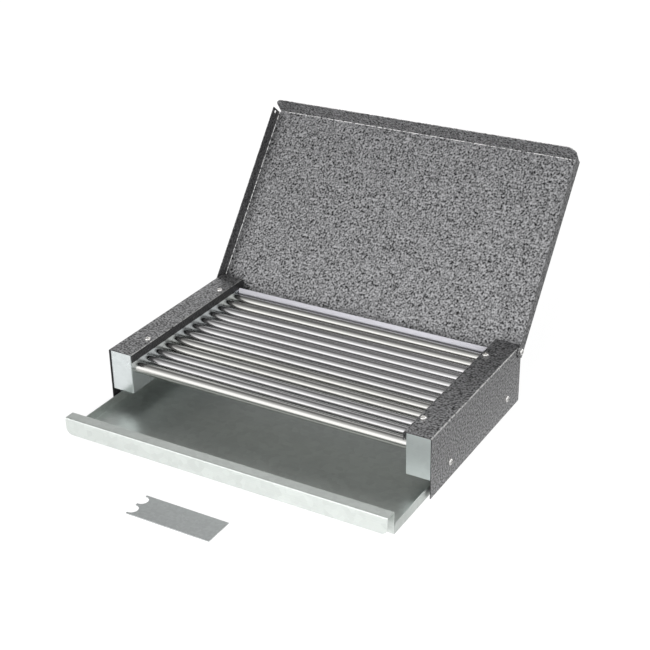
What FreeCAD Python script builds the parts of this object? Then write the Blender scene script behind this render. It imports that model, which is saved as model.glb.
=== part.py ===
import FreeCAD, Part
import math
import os

# Table-top electric fish roaster, in millimetres: a body of heating tubes between two side boxes,
# a hinged lid, a drip tray that slides out at the front, and a loose scraper.
# While it is built, x = 0 is the middle, y = 0 is the front of the body and z = 0 is the table.
# It is saved with its origin under the middle of its whole outline, lid open and tray drawn.

# ---- driving sizes -------------------------------------------------------------------------
# Body
body_width = 400.0
body_depth = 226.0
body_height = 70.5
sheet = 0.8                     # thickness of every pressed sheet
bend = 0.8                      # inside radius of every bend
touch_gap = 0.3                 # between faces that slide or swing past each other
slip_gap = 0.1                  # between a part and the hole it is dropped into
run_gap = 0.05                  # all round a pin that turns in a hole

# Side covers and the terminal boxes inside them
cover_top_width = 31.6
cover_flange_depth = 9.8        # turned down along the inner edge of a cover
box_setback = 2.5               # from the cover's flange to the box's inner wall
box_end_setback = 1.4           # from the cover's front edge to the box's front
box_bottom_height = 20.4
box_lip_height = 10.6

# Tray rails along the bottom of each side
rail_foot_width = 12.0
rail_height = 31.0
rail_setback = 12.0             # from the body's front

# Heating tubes
tube_count = 12
tube_diameter = 12.7
tube_wall = 0.6
tube_front_y = 12.0             # centre of the first tube
tube_back_gap = 7.6             # from the last tube's centre to the rear plate
tube_drop = 20.5                # from the body's top to the tubes' centres
tube_in_box = 3.0               # how far a tube stands into the box, past its wall
core_diameter = 5.0
core_inset = 24.0               # from the end of a tube to the end of its core
coil_wire_diameter = 0.8
coil_inset = 10.0               # from the end of a core to the end of its coil
bush_plug_length = 8.0
bush_shoulder_diameter = 14.0
bush_shoulder_length = 4.0
pin_diameter = 3.0
pin_standout = 4.4              # past the busbar
busbar_width = 10.0
busbar_thickness = 0.8
busbar_overhang = 6.0           # past the first and last pin
tab_width = 6.3
tab_length = 7.2

# Back
back_drop = 14.5                # from the body's top to the back panel's
rear_plate_drop = 8.5           # from the body's top to the rear plate's
duct_depth = 6.8                # clear space between the rear plate and the back panel
back_screw_height = 27.0
back_screw_spacing = 120.0
rear_lip_height = 12.0

# Lid
hinge_from_back = 4.0
hinge_drop = 6.3                # from the body's top to the hinge line
lid_offset = 9.4                # from the hinge line to the inner face of the lid
lid_overhang = 9.6              # from the body's front to the shut lid's front bend
lid_side_gap = 0.5              # from a cover to the lid's side flange
lid_side_depth = 17.3
lid_side_setback = 1.6          # from the front bend back to the end of a side flange
lid_front_depth = 23.0
lid_front_tilt = 15.4           # degrees, outwards
lid_front_corner = 10.0
lid_corner_relief = 2.2         # side corner cut away from the front flange
lid_open_angle = 129.0          # from shut
lid_hole_diameter = 4.0
lid_hole_from_bend = 5.5
lid_hole_from_top = 10.5

# Drip tray
tray_side_gap = 2.0             # to a rail
tray_wall_height = 11.4
tray_front_height = 27.0
tray_shortfall = 2.0            # its length over the front and rear walls, short of the body's
tray_strip_depth = 13.1
tray_lip_drop = 20.0
tray_lip_corner = 8.0
tray_drawn = 73.1               # how far the tray stands out of the body
tray_wall_chamfer = 3.0         # off the front top corner of a side wall

# Scraper
scraper_length = 100.0
scraper_width = 35.0
scraper_thickness = 1.0
scraper_left_x = -55.0
scraper_front_y = -168.0
scraper_notch_radius = 7.0
scraper_notch_pitch = 17.0
scraper_notch_inset = 0.8       # centre of a notch, in from the end

# Screws: shank, pan head, nut across flats, nut thickness
screw_diameter = 3.5
screw_head_diameter = 7.2
screw_head_height = 2.6
recess_depth = 1.1
recess_length = 4.2
recess_width = 0.9
nut_flats = 6.0
nut_thickness = 2.8
screw_end = 1.2                 # standing out of its nut
pin_nut_flats = 5.5
pin_nut_thickness = 2.4
washer_diameter = 9.0
top_screw_from_edge = 6.6       # from a cover's inner edge
right_top_screw_front = 31.5
left_top_screw_front = 39.4
top_screw_back = 41.2           # from the body's back
side_screw_front = 43.5
side_screw_back = 36.5
side_screw_height = 20.2
nut_room = 5.2                  # half width of the notch round a side nut

# Mains terminal block, leads and cord gland, all in the right-hand box
block_behind_tab = 21.0         # from the rear tab to the block's front
block_side_gap = 1.0            # from the block to the box's lip
block_length = 18.0
block_height = 12.0
block_way_height = 4.4
sleeve_radius = 1.95
sleeve_bore = 1.3
sleeve_inset = 1.0
clamp_radius = 1.3
clamp_inset = 1.0               # below the block's top
receptacle_wall = 0.8
receptacle_floor = 1.0
lead_diameter = 2.4
lead_bend = 4.0
lead_entry = 3.0                # length of a lead inside its terminal
earth_from_block = 24.0
earth_inset = 1.5               # from the third way towards the tubes
earth_ring_radius = 3.4
earth_tongue = 9.0
earth_tongue_width = 2.4
gland_inset = 13.0              # from the cover's outer side
gland_nut_lift = 1.56           # from the box's floor to the nut's lowest corner
gland_bore = 7.2
gland_diameter = 12.0
gland_flange_diameter = 17.0
gland_flange = 2.5
gland_nose = 8.0

# ---- sizes worked out from them ------------------------------------------------------------
half_width = body_width / 2
cover_inner_x = half_width - cover_top_width
wall_x = cover_inner_x + box_setback            # face of the box towards the tubes
box_top = body_height - sheet
box_outer_x = half_width - 2 * sheet            # where the rail's upright lies against the box
rear_plate_y = body_depth - 2 * sheet - duct_depth
rear_plate_height = body_height - rear_plate_drop
back_height = body_height - back_drop
tube_end_x = wall_x + sheet + tube_in_box
tube_radius = tube_diameter / 2
tube_bore = tube_radius - tube_wall
tube_height = body_height - tube_drop
tube_pitch = (rear_plate_y - tube_back_gap - tube_front_y) / (tube_count - 1)
tube_ys = [tube_front_y + tube_pitch * i for i in range(tube_count)]
core_end_x = tube_end_x - core_inset
core_radius = core_diameter / 2
coil_end_x = core_end_x - coil_inset
coil_radius = core_radius + slip_gap + coil_wire_diameter
bush_end_x = tube_end_x + bush_shoulder_length
pin_end_x = bush_end_x + busbar_thickness + pin_standout
hinge_y = body_depth - hinge_from_back
hinge_height = body_height - hinge_drop
lid_half = half_width + lid_side_gap + sheet
lid_inner_z = hinge_height + lid_offset
lid_front_y = -lid_overhang
open_turn = math.radians(lid_open_angle)
# the open lid's rear edge comes to rest against the back of the body
lid_tail = (hinge_y + lid_offset * math.sin(open_turn) - body_depth - touch_gap) / -math.cos(open_turn)
lid_rear_y = hinge_y + lid_tail
tray_half = half_width - 2 * sheet - tray_side_gap
tray_bottom = sheet + touch_gap
tray_front_y = -tray_drawn
tray_length = body_depth - tray_shortfall
screw_radius = screw_diameter / 2
top_screw_x = cover_inner_x + top_screw_from_edge
right_top_screw_ys = (right_top_screw_front, body_depth - top_screw_back)
left_top_screw_ys = (left_top_screw_front, body_depth - top_screw_back)
side_screw_ys = (side_screw_front, body_depth - side_screw_back)
gland_x = half_width - gland_inset
gland_nut_flats = gland_flange_diameter - 1
pin_radius = pin_diameter / 2
front_half = tube_count // 2
between_ys = [y + tube_pitch / 2 for y in tube_ys]      # middle of the gap behind each tube
busbar_low = tube_height - busbar_width / 2
back_screw_xs = [-back_screw_spacing, 0.0, back_screw_spacing]
first_way_x = bush_end_x + busbar_thickness / 2
block_pitch = (box_outer_x - sheet - block_side_gap - first_way_x) / 2.5
way_xs = [first_way_x + block_pitch * i for i in range(3)]
block_floor = box_bottom_height + sheet
way_z = block_floor + block_way_height
gland_height = block_floor + gland_nut_lift + gland_nut_flats / math.sqrt(3)
front_tab_y = between_ys[front_half - 2]
rear_tab_y = between_ys[front_half]
receptacle_bottom = busbar_low - tab_length - receptacle_floor
block_front_y = rear_tab_y + block_behind_tab
earth_y = block_front_y - earth_from_block
earth_x = way_xs[2] - earth_inset
clamp_ys = (block_front_y + block_length * 0.3, block_front_y + block_length * 0.7)


def point(x, y, z):
    return FreeCAD.Vector(x, y, z)


X = point(1, 0, 0)
Y = point(0, 1, 0)
Z = point(0, 0, 1)
CENTRE = point(0, 0, 0)


# ---- ways of making sheet and turned pieces -------------------------------------------------
def block(x0, x1, y0, y1, z0, z1):
    return Part.makeBox(x1 - x0, y1 - y0, z1 - z0, point(x0, y0, z0))


def rod(radius, start, end):
    way = end.sub(start)
    return Part.makeCylinder(radius, way.Length, start, way)


def offset_line(points, distance):
    """The same open line, moved to the left of the way it runs."""
    moved = []
    last = len(points) - 1
    for i, (a, b) in enumerate(points):
        sides = []
        for j in (i - 1, i):
            if 0 <= j < last:
                da = points[j + 1][0] - points[j][0]
                db = points[j + 1][1] - points[j][1]
                run = math.hypot(da, db)
                sides.append((-db / run, da / run))
        na = sum(side[0] for side in sides)
        nb = sum(side[1] for side in sides)
        scale = distance * len(sides) / (na * na + nb * nb)
        if len(sides) == 1:
            scale = distance
        moved.append((a + na * scale, b + nb * scale))
    return moved


def rounded_corner(before, here, after, radius):
    """Start, middle and end of the arc that rounds one corner."""
    ua, ub = before[0] - here[0], before[1] - here[1]
    va, vb = after[0] - here[0], after[1] - here[1]
    lu, lv = math.hypot(ua, ub), math.hypot(va, vb)
    ua, ub, va, vb = ua / lu, ub / lu, va / lv, vb / lv
    half = math.acos(max(-1.0, min(1.0, ua * va + ub * vb))) / 2
    back = radius / math.tan(half)
    ma, mb = ua + va, ub + vb
    lm = math.hypot(ma, mb)
    out = radius / math.sin(half) - radius
    first = (here[0] + ua * back, here[1] + ub * back)
    middle = (here[0] + ma / lm * out, here[1] + mb / lm * out)
    last = (here[0] + va * back, here[1] + vb * back)
    return first, middle, last


def rounded_line(points, radii, place):
    """Edges of an open line with an arc at each inner corner."""
    edges = []
    start = points[0]
    for i in range(1, len(points) - 1):
        first, middle, last = rounded_corner(points[i - 1], points[i], points[i + 1], radii[i])
        edges.append(Part.makeLine(place(*start), place(*first)))
        edges.append(Part.Arc(place(*first), place(*middle), place(*last)).toShape())
        start = last
    edges.append(Part.makeLine(place(*start), place(*points[-1])))
    return edges


def bent_sheet(points, place, way, thickness=sheet, inside=bend):
    """Sheet bent along a line, with the metal to the left of the line, pushed out along way."""
    other = offset_line(points, thickness)
    near, far = [0], [0]
    for i in range(1, len(points) - 1):
        (a0, b0), (a1, b1), (a2, b2) = points[i - 1:i + 2]
        left = (a1 - a0) * (b2 - b1) - (b1 - b0) * (a2 - a1) > 0
        near.append(inside + thickness if left else inside)
        far.append(inside if left else inside + thickness)
    near.append(0)
    far.append(0)
    edges = rounded_line(points, near, place)
    edges.append(Part.makeLine(place(*points[-1]), place(*other[-1])))
    edges += rounded_line(other[::-1], far[::-1], place)
    edges.append(Part.makeLine(place(*other[0]), place(*points[0])))
    return Part.Face(Part.Wire(edges)).extrude(way)


def outline_plate(points, radii, place, way):
    """Flat plate from a closed outline, each corner rounded by its own radius."""
    corners = []
    for i, here in enumerate(points):
        if radii[i] == 0:
            corners.append((here, None, here))
        else:
            after = points[(i + 1) % len(points)]
            corners.append(rounded_corner(points[i - 1], here, after, radii[i]))
    edges = []
    for i, (first, middle, last) in enumerate(corners):
        if middle:
            edges.append(Part.Arc(place(*first), place(*middle), place(*last)).toShape())
        following = corners[(i + 1) % len(corners)][0]
        edges.append(Part.makeLine(place(*last), place(*following)))
    return Part.Face(Part.Wire(edges)).extrude(way)


def mirrored(shape):
    return shape.mirror(CENTRE, X)


def both(shape):
    return [shape, mirrored(shape)]


def group(shapes):
    return Part.makeCompound([solid for shape in shapes for solid in shape.Solids])


def corner_edges(shape, low, high):
    """Edges across the sheet's thickness that lie between two heights."""
    return [edge for edge in shape.Edges
            if low < edge.BoundBox.ZMin and edge.BoundBox.ZMax < high
            and 0.7 * sheet < edge.Length < 1.3 * sheet]


def pan_screw(seat, way, length):
    """Cross-head screw: seat is under the head, and the shank runs along way."""
    head = Part.makeCylinder(screw_head_diameter / 2, screw_head_height)
    rim = [edge for edge in head.Edges if edge.BoundBox.ZMin > screw_head_height - 0.01]
    head = head.makeFillet(screw_head_height * 0.6, rim)
    for turn in (0, 90):
        slot = block(-recess_length / 2, recess_length / 2, -recess_width / 2, recess_width / 2,
                     screw_head_height - recess_depth, screw_head_height)
        slot.rotate(CENTRE, Z, turn)
        head = head.cut(slot)
    screw = head.fuse(Part.makeCylinder(screw_radius, length, CENTRE, point(0, 0, -1)))
    screw = screw.removeSplitter()
    screw.Placement = FreeCAD.Placement(seat, FreeCAD.Rotation(point(0, 0, -1), way))
    return screw


def hex_nut(centre, way, flats, thickness, hole, turn=30):
    """Nut standing on centre and reaching along way, with a corner at the angle turn."""
    corners = []
    for i in range(6):
        angle = math.radians(60 * i + turn)
        reach = flats / math.sqrt(3)
        corners.append(point(reach * math.cos(angle), reach * math.sin(angle), 0))
    face = Part.Face(Part.makePolygon(corners + corners[:1]))
    nut = face.extrude(point(0, 0, thickness)).cut(Part.makeCylinder(hole, thickness))
    nut.Placement = FreeCAD.Placement(centre, FreeCAD.Rotation(Z, way))
    return nut


def lead(points, inside=lead_bend):
    """Round wire along straight runs joined by tangent arcs."""
    edges = []
    start = points[0]
    for i in range(1, len(points) - 1):
        before, here, after = points[i - 1], points[i], points[i + 1]
        u = before.sub(here).normalize()
        v = after.sub(here).normalize()
        half = math.acos(u.dot(v)) / 2
        back = inside / math.tan(half)
        first = here.add(u * back)
        last = here.add(v * back)
        middle = here.add(u.add(v).normalize() * (inside / math.sin(half) - inside))
        edges.append(Part.makeLine(start, first))
        edges.append(Part.Arc(first, middle, last).toShape())
        start = last
    edges.append(Part.makeLine(start, points[-1]))
    section = Part.makeCircle(lead_diameter / 2, points[0], points[1].sub(points[0]))
    return Part.Wire(edges).makePipeShell([Part.Wire([section])], True, False)


# ---- side covers -----------------------------------------------------------------------------
def right_cover(top_screw_ys):
    line = [
        (half_width, 0),
        (half_width, body_height),
        (cover_inner_x, body_height),
        (cover_inner_x, body_height - cover_flange_depth),
    ]
    cover = bent_sheet(line, lambda a, b: point(a, 0, b), point(0, body_depth, 0))
    for y in top_screw_ys:
        cover = cover.cut(rod(screw_radius + slip_gap, point(top_screw_x, y, box_top - sheet),
                              point(top_screw_x, y, body_height + sheet)))
    for y, z in [(y, side_screw_height) for y in side_screw_ys] + [(hinge_y, hinge_height)]:
        cover = cover.cut(rod(screw_radius + slip_gap, point(box_outer_x, y, z),
                              point(half_width + sheet, y, z)))
    return cover


# ---- terminal boxes --------------------------------------------------------------------------
def right_box(top_screw_ys):
    """Box with its open side against the cover, and a lip that lies on the tray rail."""
    outside = block(wall_x, box_outer_x, box_end_setback, body_depth, box_bottom_height, box_top)
    folds = [edge for edge in outside.Edges
             if edge.BoundBox.XMin < box_outer_x - sheet or edge.BoundBox.ZMin > box_top - sheet]
    outside = outside.makeFillet(bend, folds)
    inside = block(wall_x + sheet, box_outer_x, box_end_setback + sheet, body_depth - sheet,
                   box_bottom_height + sheet, box_top - sheet)
    box = outside.cut(inside)
    lip = block(box_outer_x - sheet, box_outer_x, box_end_setback + sheet, body_depth - sheet,
                box_bottom_height, box_bottom_height + box_lip_height)
    box = box.fuse(lip).removeSplitter()
    for y in tube_ys:
        box = box.cut(rod(tube_radius + slip_gap, point(wall_x - sheet, y, tube_height),
                          point(wall_x + 2 * sheet, y, tube_height)))
    for y in top_screw_ys:
        box = box.cut(rod(screw_radius + slip_gap, point(top_screw_x, y, box_top - 2 * sheet),
                          point(top_screw_x, y, box_top)))
    for y in side_screw_ys:
        box = box.cut(block(box_outer_x - nut_thickness - screw_end - sheet, box_outer_x,
                            y - nut_room, y + nut_room,
                            box_bottom_height, side_screw_height + nut_room))
    return box


def right_box_with_cord_holes():
    box = right_box(right_top_screw_ys)
    box = box.cut(rod(gland_diameter / 2 + slip_gap, point(gland_x, body_depth - 2 * sheet, gland_height),
                      point(gland_x, body_depth, gland_height)))
    return box.cut(rod(screw_radius + slip_gap, point(earth_x, earth_y, box_bottom_height - sheet),
                       point(earth_x, earth_y, box_bottom_height + 2 * sheet)))


# ---- tray rails ------------------------------------------------------------------------------
def right_rail():
    line = [
        (half_width - sheet - rail_foot_width, 0),
        (half_width - sheet, 0),
        (half_width - sheet, rail_height),
    ]
    length = body_depth - sheet - rail_setback
    rail = bent_sheet(line, lambda a, b: point(a, rail_setback, b), point(0, length, 0))
    for y in side_screw_ys:
        rail = rail.cut(rod(screw_radius + slip_gap, point(box_outer_x - sheet, y, side_screw_height),
                            point(half_width, y, side_screw_height)))
    return rail


# ---- rear plate and back panel ---------------------------------------------------------------
def rear_plate():
    line = [
        (wall_x, rear_plate_y + duct_depth - bend),
        (wall_x, rear_plate_y),
        (-wall_x, rear_plate_y),
        (-wall_x, rear_plate_y + duct_depth - bend),
    ]
    rise = rear_plate_height - box_bottom_height
    plate = bent_sheet(line[::-1], lambda a, b: point(a, b, box_bottom_height), point(0, 0, rise))
    half = wall_x - 2 * (sheet + bend)
    floor_line = [
        (rear_plate_y, box_bottom_height),
        (body_depth - sheet, box_bottom_height),
        (body_depth - sheet, box_bottom_height + rear_lip_height),
    ]
    floor = bent_sheet(floor_line, lambda a, b: point(-half, a, b), point(2 * half, 0, 0))
    plate = plate.fuse(floor).removeSplitter()
    for x in back_screw_xs:
        plate = plate.cut(rod(screw_radius + slip_gap, point(x, body_depth - 3 * sheet, back_screw_height),
                              point(x, body_depth, back_screw_height)))
    return plate


def back_panel():
    half = wall_x - touch_gap
    wide = half_width - sheet - touch_gap
    shoulder = box_bottom_height - touch_gap
    top_edge = back_height - 2 * bend
    outline = [
        (-wide, 0),
        (wide, 0),
        (wide, shoulder),
        (half, shoulder),
        (half, top_edge),
        (-half, top_edge),
        (-half, shoulder),
        (-wide, shoulder),
    ]
    low = outline_plate(outline, [0] * len(outline),
                        lambda a, b: point(a, body_depth - sheet, b), point(0, sheet, 0))
    line = [
        (body_depth, top_edge - bend),
        (body_depth, back_height),
        (rear_plate_y + sheet, back_height),
    ]
    top = bent_sheet(line, lambda a, b: point(-half + 2 * sheet, a, b), point(2 * half - 4 * sheet, 0, 0))
    panel = low.fuse(top).removeSplitter()
    for x in back_screw_xs:
        panel = panel.cut(rod(screw_radius + slip_gap, point(x, body_depth - 2 * sheet, back_screw_height),
                              point(x, body_depth + sheet, back_screw_height)))
    return panel


# ---- heating tubes ---------------------------------------------------------------------------
def tube(y):
    outside = rod(tube_radius, point(-tube_end_x, y, tube_height), point(tube_end_x, y, tube_height))
    return outside.cut(rod(tube_bore, point(-tube_end_x, y, tube_height), point(tube_end_x, y, tube_height)))


def core(y):
    return rod(core_radius, point(-core_end_x, y, tube_height), point(core_end_x, y, tube_height))


def coil(y):
    """Space that the heating wire winds through, round the core."""
    start = point(-coil_end_x, y, tube_height)
    end = point(coil_end_x, y, tube_height)
    return rod(coil_radius, start, end).cut(rod(core_radius + slip_gap, start, end))


def right_bush(y):
    shoulder = rod(bush_shoulder_diameter / 2, point(tube_end_x, y, tube_height),
                   point(bush_end_x, y, tube_height))
    plug = rod(tube_bore - slip_gap, point(tube_end_x - bush_plug_length, y, tube_height),
               point(tube_end_x, y, tube_height))
    hole = rod(pin_radius + slip_gap, point(tube_end_x - bush_plug_length, y, tube_height),
               point(bush_end_x, y, tube_height))
    return shoulder.fuse(plug).removeSplitter().cut(hole)


def right_pin(y):
    return rod(pin_radius, point(core_end_x, y, tube_height), point(pin_end_x, y, tube_height))


def right_pin_nut(y):
    seat = bush_end_x + busbar_thickness
    return hex_nut(point(seat, y, tube_height), X, pin_nut_flats, pin_nut_thickness, pin_radius + run_gap)


def busbar(ys, tab_y=None):
    """Strip along the pins of some tubes, with a push-on tab where a lead joins it."""
    outer = bush_end_x + busbar_thickness
    bar = block(bush_end_x, outer, ys[0] - busbar_overhang, ys[-1] + busbar_overhang,
                busbar_low, busbar_low + busbar_width)
    if tab_y is not None:
        tab = block(bush_end_x, outer, tab_y - tab_width / 2, tab_y + tab_width / 2,
                    busbar_low - tab_length, busbar_low)
        bar = bar.fuse(tab).removeSplitter()
    for y in ys:
        hole = rod(pin_radius + slip_gap, point(bush_end_x, y, tube_height), point(outer, y, tube_height))
        bar = bar.cut(hole)
    return bar


# ---- terminal block, leads and gland ---------------------------------------------------------
def terminal_block():
    side = block_pitch / 2
    body = block(way_xs[0] - side, way_xs[2] + side, block_front_y, block_front_y + block_length,
                 block_floor, block_floor + block_height)
    for x in way_xs:
        body = body.cut(rod(sleeve_radius + run_gap, point(x, block_front_y, way_z),
                            point(x, block_front_y + block_length, way_z)))
        for y in clamp_ys:
            body = body.cut(rod(clamp_radius + run_gap, point(x, y, way_z),
                                point(x, y, block_floor + block_height)))
    return body


def block_sleeves():
    sleeves = []
    for x in way_xs:
        start = point(x, block_front_y + sleeve_inset, way_z)
        end = point(x, block_front_y + block_length - sleeve_inset, way_z)
        sleeves.append(rod(sleeve_radius, start, end).cut(rod(sleeve_bore, start, end)))
    return group(sleeves)


def clamp_screws():
    """Short screws that stand on the sleeves."""
    low = way_z + sleeve_radius + run_gap
    top = block_floor + block_height - clamp_inset
    return group([rod(clamp_radius, point(x, y, low), point(x, y, top)) for x in way_xs for y in clamp_ys])


def receptacle(tab_y):
    """Push-on terminal round a busbar's tab."""
    middle = bush_end_x + busbar_thickness / 2
    wide = tab_width / 2 + slip_gap + receptacle_wall
    deep = busbar_thickness / 2 + slip_gap + receptacle_wall
    top = busbar_low - touch_gap
    body = block(middle - deep, middle + deep, tab_y - wide, tab_y + wide, receptacle_bottom, top)
    room = tab_width / 2 + slip_gap
    thin = busbar_thickness / 2 + slip_gap
    slot = block(middle - thin, middle + thin, tab_y - room, tab_y + room,
                 receptacle_bottom + receptacle_floor - slip_gap, top)
    return body.cut(slot)


def rear_lead():
    x = way_xs[0]
    return lead([point(x, block_front_y + lead_entry, way_z), point(x, rear_tab_y, way_z),
                 point(x, rear_tab_y, receptacle_bottom)])


def front_lead():
    x, aside = way_xs[0], way_xs[1]
    turn_y = front_tab_y + 2 * block_pitch
    return lead([point(aside, block_front_y + lead_entry, way_z), point(aside, turn_y, way_z),
                 point(x, front_tab_y, way_z), point(x, front_tab_y, receptacle_bottom)])


def earth_lead():
    x = way_xs[2]
    ring_top = block_floor + sheet + lead_diameter / 2
    tongue_end_y = earth_y + earth_tongue
    return lead([point(x, block_front_y + lead_entry, way_z), point(x, block_front_y - lead_bend, way_z),
                 point(earth_x, tongue_end_y + lead_diameter, ring_top),
                 point(earth_x, tongue_end_y - earth_tongue / 2, ring_top)])


def earth_ring():
    low = point(earth_x, earth_y, block_floor)
    high = point(earth_x, earth_y, block_floor + sheet)
    half = earth_tongue_width / 2
    tongue = block(earth_x - half, earth_x + half, earth_y, earth_y + earth_tongue,
                   block_floor, block_floor + sheet)
    ring = rod(earth_ring_radius, low, high).fuse(tongue).removeSplitter()
    return ring.cut(rod(screw_radius + slip_gap, low, high))


def cord_gland():
    """Bush that the mains cord comes out of; its waist clips into the right-hand box's end."""
    inner = body_depth - sheet - nut_thickness - screw_end
    waist = rod(gland_diameter / 2, point(gland_x, inner, gland_height),
                point(gland_x, body_depth, gland_height))
    flange = rod(gland_flange_diameter / 2, point(gland_x, body_depth, gland_height),
                 point(gland_x, body_depth + gland_flange, gland_height))
    nose = Part.makeCone(gland_diameter / 2, gland_diameter / 2 - 1.2, gland_nose,
                         point(gland_x, body_depth + gland_flange, gland_height), Y)
    hole = rod(gland_bore / 2, point(gland_x, inner, gland_height),
               point(gland_x, body_depth + gland_flange + gland_nose, gland_height))
    return waist.fuse(flange).fuse(nose).removeSplitter().cut(hole)


def gland_nut():
    return hex_nut(point(gland_x, body_depth - sheet, gland_height), point(0, -1, 0),
                   gland_nut_flats, nut_thickness, gland_diameter / 2 + run_gap)


# ---- screws, nuts and washers ----------------------------------------------------------------
def right_cover_screws(top_screw_ys):
    length = 2 * sheet + nut_thickness + screw_end
    return [pan_screw(point(top_screw_x, y, body_height), point(0, 0, -1), length)
            for y in top_screw_ys]


def right_cover_nuts(top_screw_ys):
    seat = box_top - sheet
    return [hex_nut(point(top_screw_x, y, seat), point(0, 0, -1), nut_flats, nut_thickness,
                    screw_radius + run_gap) for y in top_screw_ys]


def side_screws():
    length = 2 * sheet + nut_thickness + screw_end
    return [pan_screw(point(half_width, y, side_screw_height), point(-1, 0, 0), length)
            for y in side_screw_ys]


def side_nuts():
    return [hex_nut(point(box_outer_x, y, side_screw_height), point(-1, 0, 0), nut_flats,
                    nut_thickness, screw_radius + run_gap) for y in side_screw_ys]


def hinge_screw():
    length = run_gap + sheet + lid_side_gap + sheet + nut_thickness + screw_end
    return pan_screw(point(lid_half + run_gap, hinge_y, hinge_height), point(-1, 0, 0), length)


def hinge_washer():
    start = point(half_width, hinge_y, hinge_height)
    end = point(half_width + lid_side_gap - run_gap, hinge_y, hinge_height)
    return rod(washer_diameter / 2, start, end).cut(rod(screw_radius + run_gap, start, end))


def hinge_nut():
    return hex_nut(point(half_width - sheet, hinge_y, hinge_height), point(-1, 0, 0), nut_flats,
                   nut_thickness, screw_radius + run_gap, turn=0)


def back_screws():
    length = 2 * sheet + nut_thickness + screw_end
    return [pan_screw(point(x, body_depth, back_screw_height), point(0, -1, 0), length)
            for x in back_screw_xs]


def back_nuts():
    return [hex_nut(point(x, body_depth - 2 * sheet, back_screw_height), point(0, -1, 0), nut_flats,
                    nut_thickness, screw_radius + run_gap) for x in back_screw_xs]


def earth_screw():
    length = 2 * sheet + nut_thickness + screw_end
    return pan_screw(point(earth_x, earth_y, block_floor + sheet), point(0, 0, -1), length)


def earth_nut():
    return hex_nut(point(earth_x, earth_y, box_bottom_height), point(0, 0, -1), nut_flats, nut_thickness,
                   screw_radius + run_gap)


# ---- lid -------------------------------------------------------------------------------------
def shut_lid():
    """Pan with a panel, two side flanges that hang on the hinge screws, and a tilted front flange."""
    top = lid_inner_z + sheet
    low = top - lid_side_depth
    pan_line = [(-lid_half, low), (-lid_half, top), (lid_half, top), (lid_half, low)]
    start = lid_front_y + lid_side_setback
    back_reach = hinge_height - low
    ear_y = hinge_y + back_reach
    pan = bent_sheet(pan_line[::-1], lambda a, b: point(a, start, b), point(0, ear_y - start, 0))
    # side outline: square at the front, round about the hinge screw at the back
    side = outline_plate(
        [(start, low), (ear_y, low), (ear_y, hinge_height + back_reach / 2),
         (lid_rear_y, lid_inner_z - bend), (lid_rear_y, top), (start, top)],
        [0, back_reach, 0, 0, 0, 0],
        lambda a, b: point(-lid_half, a, b), point(2 * lid_half, 0, 0))
    pan = pan.common(side)
    # front strip of the panel with its tilted flange
    half = lid_half - lid_corner_relief
    tilt = math.radians(lid_front_tilt)
    end = (lid_front_y - lid_front_depth * math.sin(tilt), lid_inner_z - lid_front_depth * math.cos(tilt))
    lip_line = [(start, lid_inner_z), (lid_front_y, lid_inner_z), end]
    lip = bent_sheet(lip_line[::-1], lambda a, b: point(-half, a, b), point(2 * half, 0, 0))
    lip = lip.makeFillet(lid_front_corner, corner_edges(lip, end[1] - sheet, end[1] + sheet))
    lid = pan.fuse(lip).removeSplitter()
    lid = lid.cut(rod(screw_radius + run_gap, point(-lid_half - 1, hinge_y, hinge_height),
                      point(lid_half + 1, hinge_y, hinge_height)))
    hole_y = lid_front_y + lid_hole_from_bend
    hole_z = top - lid_hole_from_top
    return lid.cut(rod(lid_hole_diameter / 2, point(-lid_half - 1, hole_y, hole_z),
                       point(-lid_half + 2 * sheet, hole_y, hole_z)))


def open_lid():
    lid = shut_lid()
    lid.rotate(point(0, hinge_y, hinge_height), X, -lid_open_angle)
    return lid


# ---- drip tray -------------------------------------------------------------------------------
def drip_tray():
    """Shallow pan whose front wall turns over into a strip and a lip to pull it by."""
    floor_z = tray_bottom + sheet
    front = tray_front_y + sheet
    rear = tray_front_y + tray_length - sheet
    wall_top = tray_bottom + tray_wall_height
    front_top = tray_bottom + tray_front_height
    lip_y = tray_front_y - tray_strip_depth
    lip_low = front_top - tray_lip_drop
    line = [
        (rear, wall_top),
        (rear, floor_z),
        (front, floor_z),
        (front, front_top),
        (lip_y, front_top),
        (lip_y, lip_low),
    ]
    tray = bent_sheet(line, lambda a, b: point(-tray_half, a, b), point(2 * tray_half, 0, 0))
    tray = tray.makeFillet(tray_lip_corner, corner_edges(tray, lip_low - sheet, lip_low + sheet))
    side = tray_half - sheet
    pan_line = [(side, wall_top), (side, floor_z), (-side, floor_z), (-side, wall_top)]
    sides = bent_sheet(pan_line, lambda a, b: point(a, front, b), point(0, rear - front, 0))
    chamfer = outline_plate(
        [(front, wall_top - tray_wall_chamfer), (front + tray_wall_chamfer, wall_top), (front, wall_top)],
        [0, 0, 0], lambda a, b: point(-tray_half, a, b), point(2 * tray_half, 0, 0))
    return tray.fuse(sides.cut(chamfer)).removeSplitter()


# ---- scraper ---------------------------------------------------------------------------------
def scraper():
    """Loose blade with two notches that fit the tubes."""
    right = scraper_left_x + scraper_length
    middle_y = scraper_front_y + scraper_width / 2
    plate = block(scraper_left_x, right, scraper_front_y, scraper_front_y + scraper_width,
                  0, scraper_thickness)
    for side in (-1, 1):
        y = middle_y + side * scraper_notch_pitch / 2
        x = scraper_left_x + scraper_notch_inset
        plate = plate.cut(rod(scraper_notch_radius, point(x, y, -1), point(x, y, scraper_thickness + 1)))
    return plate


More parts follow.
